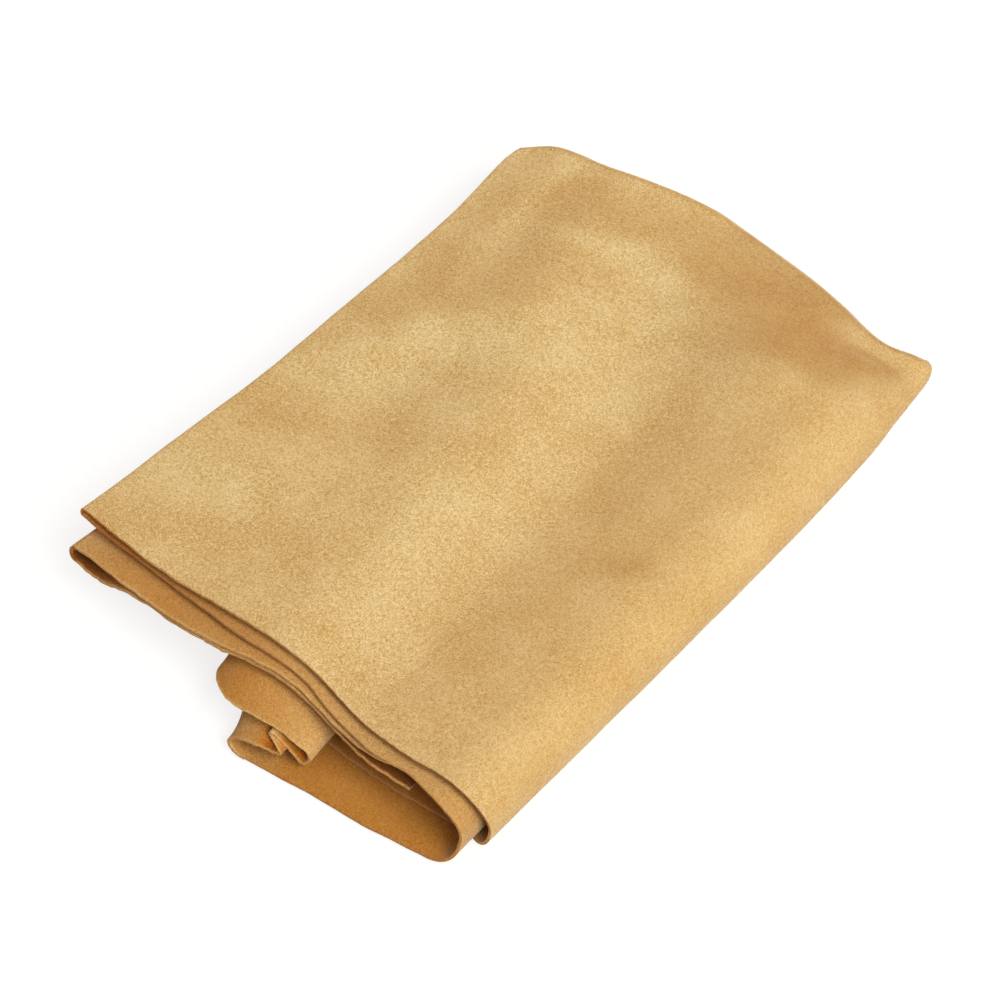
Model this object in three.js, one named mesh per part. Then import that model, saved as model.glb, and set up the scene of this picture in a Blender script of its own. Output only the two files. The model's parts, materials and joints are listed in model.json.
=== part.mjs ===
// A chamois leather folded into a loose pad.
// The hide is folded to the left, then to the back, then over to the right like a book.
// Four leaves lie above the last fold. The leaves below it are shorter, and the tail of one of
// them is turned up, pleated and rolled under the left half of the pad.
// Millimetres, +Z up. +X runs from the left folds to the last fold, +Y from the cut edges to the back folds.
import * as THREE from 'three';
import { mergeVertices } from 'three/addons/utils/BufferGeometryUtils.js';

// The hide
const LEATHER = 1.2;
const CLEARANCE = 0.3;

// The pad as a whole: X is measured from the mean line of the last fold, Y from the mean front edge
const PAD_WIDTH = 200;
const BACK_Y = 284;
const BACK_BOW = 16;
const BEND_X = -18;
const LAST_FOLD_HEIGHT = 36;
const LAST_FOLD_REACH = 23.4;
const OUTER_BULGE = 5;
const INNER_BULGE = 1.6;

// Relief of the top leaf, above and below the shoulder of the last fold: the leaf climbs from the left
// fold to a crest over the rolled tail, sinks into a valley and climbs to the shoulder.
// Crest and valley swing to the left on their way back, and the leaf falls at the back folds.
const CREST_FRONT_X = -106;
const CREST_BACK_X = -148;
const VALLEY_FRONT_X = -46;
const VALLEY_BACK_X = -94;
const SHOULDER_X = -28;
const SWING_START = 30;
const SWING_END = 240;
const LEFT_RISE = 6;
const LEFT_FALL = 11;
const LEFT_FALL_LENGTH = 235;
const CREST_RISE = 3.6;
const FRONT_LIFT = 4.8;
const FRONT_LIFT_LENGTH = 110;
const VALLEY_SINK = 5;
const VALLEY_SINK_LENGTH = 130;
const BACK_FALL = 9;
const BEND_FALL = 4.5;
const BACK_FALL_LENGTH = 50;

// The four upper leaves: depth below the top leaf, and front edge at the left and at the last fold
const TOP = { depth: 0, frontLeft: 10, frontFold: -3 };
const SECOND = { depth: 5, frontLeft: 8, frontFold: -8 };
const THIRD = { depth: 8, frontLeft: -3, frontFold: -8 };
const FOURTH = { depth: 11.6, frontLeft: -3, frontFold: -9 };
const FOURTH_RIGHT = -30;
const BACK_PRESS = 0.62;
const PRESS_START = 110;

// The lower leaves: front edge at the left and at the last fold, and how far the shorter ones reach left
const GROUND = { frontLeft: 6, frontFold: -3 };
const BOTTOM = { frontLeft: -18, frontFold: -8 };
const INNER = { frontLeft: -9, frontFold: -8 };
const GROUND_INSET = 8;
const INNER_LEFT = -92;
const LIP_LEFT = -62;

// The turned-up tail: its fold line at the front, which flares to the left further back
const TAIL_FOLD_X = -104;
const TAIL_FOLD_REACH = 5;
const TAIL_FLARE = 80;
const FLARE_START = 20;
const FLARE_END = 84;
const TAIL_BACK_Y = 240;

// The pleat and the roll of the tail, with heights as shares of the space that they fill
const RETURN_SHARE = 0.26;
const PLEAT_X = -86;
const PLEAT_WIDTH = 6;
const PLEAT_TURN = 2.6;
const PLEAT_SHARE = 0.6;
const PLEAT_TURN_SHARE = 0.14;
const LOOP_X = -77;
const LOOP_REACH = 5.5;
const LOOP_SHARE = 0.3;
const ROLL_FRONT = -14;
const ROLL_OVERHANG = 16;
const ROLL_DEPTH = 3;
const ROLL_SINK = 6;
const ROLL_SINK_LENGTH = 60;
const ROLL_DROOP_SHARE = 0.2;
const ROLL_DROOP_WIDTH = 18;

// How finely the blanks are divided
const FLAT_STEPS = 10;
const BEND_STEPS = 4;
const LENGTH_STEPS = 10;
const TAIL_STEPS = 8;
const ROUND_STEPS = 6;
const PLEAT_STEPS = 16;

const CHAMOIS_TAN = '#d6ab68';
const PLY = LEATHER + CLEARANCE;
const QUARTER_TURN = Math.PI / 2;
const HINGE_HEIGHT = LAST_FOLD_HEIGHT / 2;
const HINGE_X = BEND_X + LAST_FOLD_REACH + LEATHER / 2;
const BEND_LENGTH = LAST_FOLD_REACH * QUARTER_TURN;
const FLAT_SHARE = FLAT_STEPS / (FLAT_STEPS + BEND_STEPS);
const TAIL_SHARE = TAIL_STEPS / LENGTH_STEPS;
const GROUND_HEIGHT = LEATHER / 2;
const BOTTOM_HEIGHT = GROUND_HEIGHT + PLY;
const INNER_HEIGHT = BOTTOM_HEIGHT + PLY;
const LIP_HEIGHT = INNER_HEIGHT + PLY;

const { clamp, lerp, smoothstep } = THREE.MathUtils;

// Height of the middle of the top leaf above the surface that the pad lies on
function topHeight(x, y) {
  const shoulder = LAST_FOLD_HEIGHT - LEATHER / 2;
  const swing = smoothstep(y, SWING_START, SWING_END);
  const crestX = lerp(CREST_FRONT_X, CREST_BACK_X, swing);
  const valleyX = lerp(VALLEY_FRONT_X, VALLEY_BACK_X, swing);
  const left = LEFT_RISE - LEFT_FALL * smoothstep(y, 0, LEFT_FALL_LENGTH);
  const crest = CREST_RISE + FRONT_LIFT * (1 - smoothstep(y, 0, FRONT_LIFT_LENGTH));
  const valley = -VALLEY_SINK * smoothstep(y, 0, VALLEY_SINK_LENGTH);
  const toCrest = lerp(left, crest, smoothstep(x, -PAD_WIDTH, crestX));
  const toValley = lerp(toCrest, valley, smoothstep(x, crestX, valleyX));
  const relief = lerp(toValley, 0, smoothstep(x, valleyX, SHOULDER_X));
  const fall = lerp(BACK_FALL, BEND_FALL, smoothstep(x, valleyX, BEND_X)) * smoothstep(x, -PAD_WIDTH, crestX);
  return shoulder + relief - fall * smoothstep(y, BACK_Y - BACK_FALL_LENGTH, BACK_Y + BACK_BOW);
}

// Depth of a leaf below the top leaf: the folds at the back press the leaves together
function depthAt(leaf, y) {
  return leaf.depth * lerp(1, BACK_PRESS, smoothstep(y, PRESS_START, BACK_Y));
}

// The line where the leaves meet their back folds, which bows out in the middle
function backAt(along) {
  const share = clamp((along + PAD_WIDTH) / (BEND_X + PAD_WIDTH), 0, 1);
  return BACK_Y + BACK_BOW * Math.sin(Math.PI * share);
}

// A point of an upper leaf: along the leaf until it bends, then round the upper half of the last fold
function upperPoint(along, y, depth) {
  if (along <= BEND_X) {
    return new THREE.Vector3(along, y, topHeight(along, y) - depth);
  }
  const turn = (along - BEND_X) / LAST_FOLD_REACH;
  const end = HINGE_HEIGHT + CLEARANCE / 2;
  const rise = topHeight(BEND_X, y) - depth - end;
  const reach = LAST_FOLD_REACH - depth;
  return new THREE.Vector3(BEND_X + reach * Math.sin(turn), y, end + rise * Math.cos(turn));
}

// A point of a lower leaf, which lies flat until it bends up round the lower half of the last fold
function lowerPoint(along, y, depth, height) {
  if (along <= BEND_X) {
    return new THREE.Vector3(along, y, height);
  }
  const turn = (along - BEND_X) / LAST_FOLD_REACH;
  const end = HINGE_HEIGHT - CLEARANCE / 2;
  const reach = LAST_FOLD_REACH - depth;
  return new THREE.Vector3(BEND_X + reach * Math.sin(turn), y, end - (end - height) * Math.cos(turn));
}

// Share of a blank's width as a place along a leaf, with one row of points where the leaf starts to bend
function alongLeaf(share, left) {
  if (share <= FLAT_SHARE) {
    return lerp(left, BEND_X, share / FLAT_SHARE);
  }
  return BEND_X + BEND_LENGTH * (share - FLAT_SHARE) / (1 - FLAT_SHARE);
}

// Share of a blank's length as a place along the pad, with one row of points where the tail ends
function alongPad(share, front, back) {
  if (share <= TAIL_SHARE) {
    return lerp(front, TAIL_BACK_Y, share / TAIL_SHARE);
  }
  return lerp(TAIL_BACK_Y, back, (share - TAIL_SHARE) / (1 - TAIL_SHARE));
}

// The line of the tail's fold, the space above it up to the fourth leaf, and a height in that space
function tailFoldX(y) {
  return TAIL_FOLD_X - TAIL_FLARE * smoothstep(y, FLARE_START, FLARE_END);
}

function tailSpace(x, y) {
  return topHeight(x, y) - depthAt(FOURTH, y) - BOTTOM_HEIGHT;
}

function tailHeight(x, y, share) {
  return BOTTOM_HEIGHT + share * tailSpace(x, y);
}

// The top of the roll lies against the fourth leaf, sinks at the front and droops at its left end
function rollLeft(y) {
  const overhang = ROLL_OVERHANG * (1 - smoothstep(y, FLARE_START, FLARE_END));
  return tailFoldX(y) - overhang;
}

function rollHeight(x, y) {
  const sink = ROLL_SINK * (1 - smoothstep(y, ROLL_FRONT, ROLL_FRONT + ROLL_SINK_LENGTH));
  const left = rollLeft(y);
  const droop = ROLL_DROOP_SHARE * tailSpace(x, y) * (1 - smoothstep(x, left, left + ROLL_DROOP_WIDTH));
  return tailHeight(x, y, 1) - ROLL_DEPTH - sink - droop;
}

// Bends a flat blank of leather onto a surface, which takes two shares of the blank's width and length
function leather(name, widthSteps, lengthSteps, surface) {
  const blank = new THREE.BoxGeometry(1, 1, 1, widthSteps, lengthSteps, 1);
  blank.deleteAttribute('normal');
  blank.deleteAttribute('uv');
  const places = blank.attributes.position;
  const step = 1e-4;
  for (let i = 0; i < places.count; i += 1) {
    const u = places.getX(i) + 0.5;
    const v = places.getY(i) + 0.5;
    const across = surface(Math.min(u + step, 1), v).sub(surface(Math.max(u - step, 0), v));
    const down = surface(u, Math.min(v + step, 1)).sub(surface(u, Math.max(v - step, 0)));
    const normal = across.cross(down).normalize();
    const point = surface(u, v).addScaledVector(normal, places.getZ(i) * LEATHER);
    places.setXYZ(i, point.x, point.y, point.z);
  }
  const geometry = mergeVertices(blank);
  geometry.computeVertexNormals();
  const material = new THREE.MeshStandardMaterial({ color: CHAMOIS_TAN, roughness: 0.95, metalness: 0 });
  const mesh = new THREE.Mesh(geometry, material);
  mesh.name = name;
  return mesh;
}

// One of the leaves above the last fold, from its left end to the hinge line
function upperLeaf(name, leaf) {
  return leather(name, FLAT_STEPS + BEND_STEPS, LENGTH_STEPS, (u, v) => {
    const along = alongLeaf(u, -PAD_WIDTH);
    const y = lerp(lerp(leaf.frontLeft, leaf.frontFold, u), backAt(along), v);
    return upperPoint(along, y, depthAt(leaf, y));
  });
}

// The fourth leaf is a narrower part of the hide, which ends before the last fold
function fourthLeaf(name) {
  return leather(name, FLAT_STEPS, LENGTH_STEPS, (u, v) => {
    const along = lerp(-PAD_WIDTH, FOURTH_RIGHT, u);
    const y = lerp(lerp(FOURTH.frontLeft, FOURTH.frontFold, u), backAt(along), v);
    return upperPoint(along, y, depthAt(FOURTH, y));
  });
}

// One of the leaves below the last fold, whose left end may follow the tail's fold.
// It carries on from the upper leaf that meets it at the hinge line.
function lowerLeaf(name, leaf, upper, height, leftAt) {
  return leather(name, FLAT_STEPS + BEND_STEPS, LENGTH_STEPS, (u, v) => {
    const front = lerp(leaf.frontLeft, leaf.frontFold, u);
    const along = alongLeaf(u, leftAt(alongPad(v, front, BACK_Y)));
    const y = alongPad(v, front, backAt(along));
    return lowerPoint(along, y, depthAt(upper, y), height);
  });
}

// A fold at the left that joins two of the upper leaves
function leftFold(name, upper, lower) {
  return leather(name, ROUND_STEPS, LENGTH_STEPS, (u, v) => {
    const turn = Math.PI * u;
    const y = lerp(lerp(upper.frontLeft, lower.frontLeft, u), BACK_Y, v);
    const radius = (depthAt(lower, y) - depthAt(upper, y)) / 2;
    const depth = depthAt(upper, y) + radius * (1 - Math.cos(turn));
    const x = -PAD_WIDTH - CLEARANCE - radius * Math.sin(turn);
    return new THREE.Vector3(x, y, topHeight(-PAD_WIDTH, y) - depth);
  });
}

// A fold at the back that joins two of the upper leaves and goes with them round the last fold
function upperBackFold(name, upper, lower, bulge) {
  return leather(name, FLAT_STEPS + BEND_STEPS, ROUND_STEPS, (u, v) => {
    const turn = Math.PI * v;
    const along = alongLeaf(u, -PAD_WIDTH);
    const y = backAt(along) + CLEARANCE + bulge * Math.sin(turn);
    return upperPoint(along, y, lerp(depthAt(upper, y), depthAt(lower, y), (1 - Math.cos(turn)) / 2));
  });
}

// A fold at the back of the lower leaves, between the depths of two upper leaves and two heights
function lowerBackFold(name, left, upper, lower, heights, bulge) {
  return leather(name, FLAT_STEPS + BEND_STEPS, ROUND_STEPS, (u, v) => {
    const turn = Math.PI * v;
    const share = (1 - Math.cos(turn)) / 2;
    const along = alongLeaf(u, left);
    const y = backAt(along) + CLEARANCE + bulge * Math.sin(turn);
    return lowerPoint(along, y, lerp(depthAt(upper, y), depthAt(lower, y), share), lerp(...heights, share));
  });
}

// The fold where the bottom leaf turns up into the tail
function tailFold(name) {
  return leather(name, ROUND_STEPS, TAIL_STEPS, (u, v) => {
    const turn = Math.PI * u;
    const y = lerp(BOTTOM.frontLeft, TAIL_BACK_Y, v);
    const x = tailFoldX(y);
    const z = lerp(BOTTOM_HEIGHT, tailHeight(x, y, RETURN_SHARE), (1 - Math.cos(turn)) / 2);
    return new THREE.Vector3(x - CLEARANCE - TAIL_FOLD_REACH * Math.sin(turn), y, z);
  });
}

// The tail on its way back to the right, as far as the pleat
function returnLeaf(name) {
  return leather(name, FLAT_STEPS, TAIL_STEPS, (u, v) => {
    const y = lerp(BOTTOM.frontLeft, TAIL_BACK_Y, v);
    const x = lerp(tailFoldX(y), PLEAT_X, u);
    return new THREE.Vector3(x, y, tailHeight(x, y, RETURN_SHARE));
  });
}

// The pleat: up to the left out of its valley, over its peak and down to the right into the loop
function pleat(name) {
  const peakX = PLEAT_X - PLEAT_WIDTH;
  const line = new THREE.CatmullRomCurve3([
    new THREE.Vector3(PLEAT_X + LEATHER, RETURN_SHARE, 0),
    new THREE.Vector3(PLEAT_X + PLEAT_TURN, RETURN_SHARE + PLEAT_TURN_SHARE / 2, 0),
    new THREE.Vector3(PLEAT_X, RETURN_SHARE + PLEAT_TURN_SHARE, 0),
    new THREE.Vector3(peakX, PLEAT_SHARE - PLEAT_TURN_SHARE, 0),
    new THREE.Vector3(peakX - PLEAT_TURN, PLEAT_SHARE - PLEAT_TURN_SHARE / 2, 0),
    new THREE.Vector3(peakX, PLEAT_SHARE, 0),
    new THREE.Vector3(lerp(peakX, LOOP_X, 0.5), lerp(PLEAT_SHARE, LOOP_SHARE, 0.5), 0),
    new THREE.Vector3(LOOP_X - LEATHER, LOOP_SHARE, 0),
  ]);
  return leather(name, PLEAT_STEPS, TAIL_STEPS, (u, v) => {
    const place = line.getPoint(u);
    const y = lerp(BOTTOM.frontLeft, TAIL_BACK_Y, v);
    return new THREE.Vector3(place.x, y, tailHeight(place.x, y, place.y));
  });
}

// The loop where the tail turns up again, and the leaf that it becomes on top of the roll
function rollLoop(name) {
  return leather(name, ROUND_STEPS, TAIL_STEPS, (u, v) => {
    const turn = Math.PI * u;
    const y = lerp(ROLL_FRONT, TAIL_BACK_Y, v);
    const z = lerp(tailHeight(LOOP_X, y, LOOP_SHARE), rollHeight(LOOP_X, y), (1 - Math.cos(turn)) / 2);
    return new THREE.Vector3(LOOP_X + LOOP_REACH * Math.sin(turn), y, z);
  });
}

function rollLeaf(name) {
  return leather(name, FLAT_STEPS, TAIL_STEPS, (u, v) => {
    const y = lerp(ROLL_FRONT, TAIL_BACK_Y, v);
    const x = lerp(rollLeft(y), LOOP_X - CLEARANCE, u);
    return new THREE.Vector3(x, y, rollHeight(x, y));
  });
}

const upperLeaves = new THREE.Group();
upperLeaves.add(
  upperLeaf('top_leaf', TOP),
  upperLeaf('second_leaf', SECOND),
  upperLeaf('third_leaf', THIRD),
  fourthLeaf('fourth_leaf'),
  leftFold('top_left_fold', TOP, SECOND),
  leftFold('inner_left_fold', THIRD, FOURTH),
  upperBackFold('outer_back_fold', TOP, FOURTH, OUTER_BULGE),
  upperBackFold('inner_back_fold', SECOND, THIRD, INNER_BULGE),
);

const lowerLeaves = new THREE.Group();
lowerLeaves.add(
  lowerLeaf('ground_leaf', GROUND, TOP, GROUND_HEIGHT, (y) => tailFoldX(y) + GROUND_INSET),
  lowerLeaf('bottom_leaf', BOTTOM, SECOND, BOTTOM_HEIGHT, tailFoldX),
  lowerLeaf('inner_leaf', INNER, THIRD, INNER_HEIGHT, () => INNER_LEFT),
  lowerBackFold('ground_back_fold', LIP_LEFT, TOP, FOURTH, [GROUND_HEIGHT, LIP_HEIGHT], OUTER_BULGE),
  lowerBackFold('bottom_back_fold', INNER_LEFT, SECOND, THIRD, [BOTTOM_HEIGHT, INNER_HEIGHT], INNER_BULGE),
  tailFold('bottom_left_fold'),
  returnLeaf('return_leaf'),
  pleat('pleat'),
  rollLoop('roll_loop'),
  rollLeaf('roll_leaf'),
);

// The origin is under the middle of the pad, on the surface that it lies on
const pad = new THREE.Group();
pad.add(lowerLeaves, upperLeaves);
const extent = new THREE.Box3().setFromObject(pad);
const middle = extent.getCenter(new THREE.Vector3());
pad.position.set(-middle.x, -middle.y, -extent.min.z);
const size = extent.getSize(new THREE.Vector3());
console.log(`pad ${size.x.toFixed(1)} x ${size.y.toFixed(1)} x ${size.z.toFixed(1)} mm`);
console.log(`hinge line at x ${(pad.position.x + HINGE_X).toFixed(3)}, z ${HINGE_HEIGHT}`);

export default pad;
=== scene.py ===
# %% [markdown]
# # A folded chamois leather
#
# A chamois is a single soft hide, tanned with oil and sanded to a nap, which is used to dry and polish.
# This one is folded to the left, then to the back, then over to the right like a book, and lies on a table
# as a loose pad. Below the last fold the hide is shorter, and its tail is turned up, pleated and rolled.
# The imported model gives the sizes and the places, so it is loaded first and isn't changed.

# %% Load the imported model
import json
import math

import bmesh
import bpy
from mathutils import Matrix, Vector, noise


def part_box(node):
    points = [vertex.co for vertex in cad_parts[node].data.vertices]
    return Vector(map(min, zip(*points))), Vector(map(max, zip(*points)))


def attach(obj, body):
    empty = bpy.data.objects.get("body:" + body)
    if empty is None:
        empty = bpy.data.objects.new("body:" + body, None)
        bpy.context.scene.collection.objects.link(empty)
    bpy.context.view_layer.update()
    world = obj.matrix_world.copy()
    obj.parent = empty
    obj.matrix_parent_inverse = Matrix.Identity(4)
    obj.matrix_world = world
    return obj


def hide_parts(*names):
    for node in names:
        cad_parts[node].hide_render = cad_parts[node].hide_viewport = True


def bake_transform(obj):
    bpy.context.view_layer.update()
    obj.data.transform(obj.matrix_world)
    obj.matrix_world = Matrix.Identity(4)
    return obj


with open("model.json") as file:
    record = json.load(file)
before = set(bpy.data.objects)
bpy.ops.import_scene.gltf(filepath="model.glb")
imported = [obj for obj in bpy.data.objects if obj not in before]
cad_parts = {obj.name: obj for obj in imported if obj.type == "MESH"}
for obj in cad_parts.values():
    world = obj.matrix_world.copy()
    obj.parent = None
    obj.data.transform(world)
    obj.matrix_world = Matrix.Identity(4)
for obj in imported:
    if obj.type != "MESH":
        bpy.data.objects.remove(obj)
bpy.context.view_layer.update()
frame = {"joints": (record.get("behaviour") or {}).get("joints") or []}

# %% [markdown]
# ## The camera
#
# The photograph was taken from above the open corner with a long lens: the far side of the pad is hardly
# smaller than the near side. The four corners of the pad come out as a rectangle for the angles and
# the distance below, so the camera takes them instead of being placed by eye.

# %% Camera
AZIMUTH = math.radians(37.5)
ELEVATION = math.radians(49.0)
DISTANCE = 1.36
LENS = 122.4
SENSOR_WIDTH = 36.0
NEAREST = 0.05
LOOK_AT = Vector((-0.0013, -0.00395, 0.0))


def seen_from(azimuth, elevation):
    """The direction from the pad to something at these angles."""
    return Vector((
        math.sin(azimuth) * math.cos(elevation),
        -math.cos(azimuth) * math.cos(elevation),
        math.sin(elevation),
    ))


camera_data = bpy.data.cameras.new("camera")
camera_data.lens = LENS
camera_data.sensor_width = SENSOR_WIDTH
camera_data.clip_start = NEAREST
camera = bpy.data.objects.new("camera", camera_data)
bpy.context.scene.collection.objects.link(camera)
toward = seen_from(AZIMUTH, ELEVATION)
camera.location = LOOK_AT + toward * DISTANCE
camera.rotation_euler = (-toward).to_track_quat("-Z", "Y").to_euler()
bpy.context.scene.camera = camera
bpy.context.scene.view_settings.view_transform = "Standard"
print("camera at", [round(v, 3) for v in camera.location])

# %% [markdown]
# ## Light and table
#
# The photograph is a studio picture on white with almost no shadow. A wide, soft sun from the right lights
# the slopes that turn to it, and a dimmer, warm world, darker toward the horizon, fills the rest. The table
# is a plain white plane. It throws light back onto the upright sides and into the folds, and part of its
# white is its own glow, which keeps the pad's shadow on it soft and faint. A few helpers come first,
# because the world, the table and the leather are all made of the same kinds of nodes.

# %% Node helpers
WHITE = (1.0, 1.0, 1.0, 1.0)
MIX_SOCKETS = {"FLOAT": (2, 3, 0), "RGBA": (6, 7, 2)}


def plug(tree, value, socket):
    """Feed a socket from another node's output, or with a plain value."""
    if isinstance(value, bpy.types.NodeSocket):
        tree.links.new(value, socket)
    else:
        socket.default_value = value


def mixed(tree, kind, factor, first, second, blend="MIX"):
    """Two numbers or two colours, mixed."""
    node = tree.nodes.new("ShaderNodeMix")
    node.data_type = kind
    node.blend_type = blend
    first_socket, second_socket, result = MIX_SOCKETS[kind]
    plug(tree, factor, node.inputs["Factor"])
    plug(tree, first, node.inputs[first_socket])
    plug(tree, second, node.inputs[second_socket])
    return node.outputs[result]


def computed(tree, operation, first, second, clamp=False):
    """What an operation makes of two numbers."""
    node = tree.nodes.new("ShaderNodeMath")
    node.operation = operation
    node.use_clamp = clamp
    plug(tree, first, node.inputs[0])
    plug(tree, second, node.inputs[1])
    return node.outputs[0]


def ranged(tree, value, top, first, last, interpolation="LINEAR"):
    """A value between 0 and top, turned into one between first and last."""
    node = tree.nodes.new("ShaderNodeMapRange")
    node.interpolation_type = interpolation
    node.inputs["From Max"].default_value = top
    node.inputs["To Min"].default_value = first
    node.inputs["To Max"].default_value = last
    tree.links.new(value, node.inputs["Value"])
    return node.outputs[0]


print("mix nodes for", list(MIX_SOCKETS))

# %% Sun and world
SUN_AZIMUTH = math.radians(72.0)
SUN_ELEVATION = math.radians(47.0)
SUN_STRENGTH = 2.79
SUN_COLOUR = (1.0, 1.0, 0.90)
SUN_SPREAD = math.radians(36.0)
WORLD_LEVEL = 0.46
WORLD_COLOUR = (0.93, 0.84, 0.75, 1.0)
HORIZON_SHARE = 0.2
FULL_SKY = 0.8

sun_data = bpy.data.lights.new("studio_sun", "SUN")
sun_data.energy = SUN_STRENGTH
sun_data.color = SUN_COLOUR
sun_data.angle = SUN_SPREAD
sun = bpy.data.objects.new("studio_sun", sun_data)
bpy.context.scene.collection.objects.link(sun)
sun.rotation_euler = (-seen_from(SUN_AZIMUTH, SUN_ELEVATION)).to_track_quat("-Z", "Y").to_euler()

world = bpy.data.worlds.new("studio")
bpy.context.scene.world = world
world.use_nodes = True
sky = world.node_tree
background = sky.nodes["Background"]
rays = sky.nodes.new("ShaderNodeLightPath").outputs
direction = sky.nodes.new("ShaderNodeSeparateXYZ")
sky.links.new(sky.nodes.new("ShaderNodeTexCoord").outputs["Generated"], direction.inputs[0])
seen = computed(sky, "ADD", rays["Is Camera Ray"], rays["Is Glossy Ray"])
seen = computed(sky, "ADD", seen, rays["Is Transmission Ray"], clamp=True)
horizon = WORLD_LEVEL * HORIZON_SHARE
level = ranged(sky, direction.outputs["Z"], FULL_SKY, horizon, WORLD_LEVEL, "SMOOTHSTEP")
plug(sky, mixed(sky, "FLOAT", seen, level, 1.0), background.inputs["Strength"])
plug(sky, mixed(sky, "RGBA", seen, WORLD_COLOUR, WHITE), background.inputs["Color"])
print("sun", SUN_STRENGTH, "world", WORLD_LEVEL)

# %% Table
TABLE_SIZE = 6.0
TABLE_BOUNCE = (0.66, 0.58, 0.48, 1.0)
TABLE_WHITE = (0.26, 0.26, 0.26, 1.0)
TABLE_GLOW = 0.80

table_mesh = bmesh.new()
bmesh.ops.create_grid(table_mesh, x_segments=1, y_segments=1, size=TABLE_SIZE)
table_data = bpy.data.meshes.new("table")
table_mesh.to_mesh(table_data)
table_mesh.free()
table = bpy.data.objects.new("table", table_data)
bpy.context.scene.collection.objects.link(table)
white = bpy.data.materials.new("white_table")
white.use_nodes = True
white_tree = white.node_tree
white_shader = white_tree.nodes["Principled BSDF"]
camera_ray = white_tree.nodes.new("ShaderNodeLightPath").outputs["Is Camera Ray"]
table_colour = mixed(white_tree, "RGBA", camera_ray, TABLE_BOUNCE, TABLE_WHITE)
table_glow = computed(white_tree, "MULTIPLY", camera_ray, TABLE_GLOW)
plug(white_tree, table_colour, white_shader.inputs["Base Color"])
plug(white_tree, table_glow, white_shader.inputs["Emission Strength"])
white_shader.inputs["Emission Color"].default_value = WHITE
white_shader.inputs["Roughness"].default_value = 1.0
white_shader.inputs["Specular IOR Level"].default_value = 0.0
table_data.materials.append(white)
print("table", TABLE_SIZE * 2, "m wide")

# %% [markdown]
# ## Sizes that the folds share
#
# All leaves of the pad follow one another, so they share a few sizes, in millimetres. They are measured
# from the mean line of the last fold, a little inside the hinge, from the mean front edge and from the
# table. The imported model's own hinge and back edge give the place of that corner.

# %% Shared sizes
MM = 0.001
LEATHER = 1.2
PAD_LEFT = -200.0
BACK_Y = 284.0
BACK_BOW = 16.0
TAIL_BACK = 240.0
HINGE_OUTSIDE = 6.0
FOLD_REACH = 17.4
BEND_X = -FOLD_REACH - LEATHER / 2
QUARTER = math.pi / 2
HINGE_ALONG = BEND_X + FOLD_REACH * QUARTER

hinge = Vector(frame["joints"][0]["pos_m"])
HINGE_Z = hinge.z / MM
back_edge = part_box("top_leaf")[1].y
corner = Vector((hinge.x - HINGE_OUTSIDE * MM, back_edge - (BACK_Y + BACK_BOW) * MM, 0.0))
print("hinge", [round(v, 4) for v in hinge], "corner", [round(v, 4) for v in corner])

# %% [markdown]
# ## Smooth lines and the lie of the top leaf
#
# Leather has no corners between its folds, so every edge and every height is a smooth line through a few
# measured points. The top leaf is lofted over five guide lines that run from front to back: the left fold,
# the foot of a crest, the crest over the rolled tail, a valley beside it and the shoulder of the last fold.
# At the back it falls to the folded edge. A few low swells and creases lie on top, read from the light
# and dark patches of the photograph, and the other leaves lie at their depths under the same surface.

# %% Smooth lines
def ease(place, start, end):
    """How far a place is on the way from start to end, from 0 to 1, without a sudden change."""
    share = min(max((place - start) / (end - start), 0.0), 1.0)
    return share * share * (3.0 - 2.0 * share)


def mix(first, second, share):
    return first + (second - first) * share


def across_fold(turn):
    """How far across a fold a place is, from 0 to 1, after this much of its half turn."""
    return (1.0 - math.cos(turn)) / 2


def smooth_line(points, place):
    """The value at a place on a smooth line through points of place and value."""
    if place <= points[0][0]:
        return points[0][1]
    if place >= points[-1][0]:
        return points[-1][1]
    i = 0
    while points[i + 1][0] < place:
        i += 1
    x0, a = points[i]
    x1, b = points[i + 1]
    before = points[max(i - 1, 0)]
    after = points[min(i + 2, len(points) - 1)]
    span = x1 - x0
    slope_a = (b - before[1]) / (x1 - before[0]) * span
    slope_b = (after[1] - a) / (after[0] - x0) * span
    t = (place - x0) / span
    return (
        a * (2 * t**3 - 3 * t**2 + 1)
        + slope_a * (t**3 - 2 * t**2 + t)
        + b * (3 * t**2 - 2 * t**3)
        + slope_b * (t**3 - t**2)
    )


print("a quarter of the way, an ease has gone", ease(1.0, 0.0, 4.0))

# %% Guide lines of the top leaf
BACK_LINE = (
    (-200, 281), (-196, 285.8), (-190, 289.8), (-180, 291.2), (-160, 293.5), (-125, 302.6), (-113, 304.6),
    (-100, 303.6), (-82, 300.2), (-63, 295.6), (-40, 288.6), (-16, 281.5), (-4, 284.5),
    (HINGE_ALONG, 287.5),
)
LEFT_HEIGHT = ((0, 43.6), (25, 41.0), (60, 38.6), (120, 34.8), (200, 32.2), (243, 30.8), (300, 30.6))
FOOT_SHARE = 0.45
FOOT_HEIGHT = ((0, 42.2), (60, 38.6), (120, 35.6), (200, 34.4), (243, 33.0))
CREST_X = ((0, -106), (80, -108), (157, -118), (203, -135), (243, -146))
CREST_HEIGHT = ((0, 43.8), (40, 41.8), (80, 40.2), (157, 39.4), (203, 38.6), (243, 36.0))
VALLEY_X = ((0, -52), (70, -60), (157, -64), (203, -80), (243, -97))
VALLEY_HEIGHT = ((0, 35.6), (40, 34.4), (70, 33.7), (157, 31.3), (203, 31.5), (243, 31.8))
SHOULDER_X = -30.0
SHOULDER_HEIGHT = ((0, 35.4), (60, 35.6), (120, 34.4), (200, 35.6), (243, 36.4))
BACK_FALL = ((-200, 1.0), (-170, 3.0), (-140, 7.7), (-110, 10.3), (BEND_X, 10.8))
FALL_LENGTH = 48.0
FALL_BEYOND = 8.0


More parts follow.
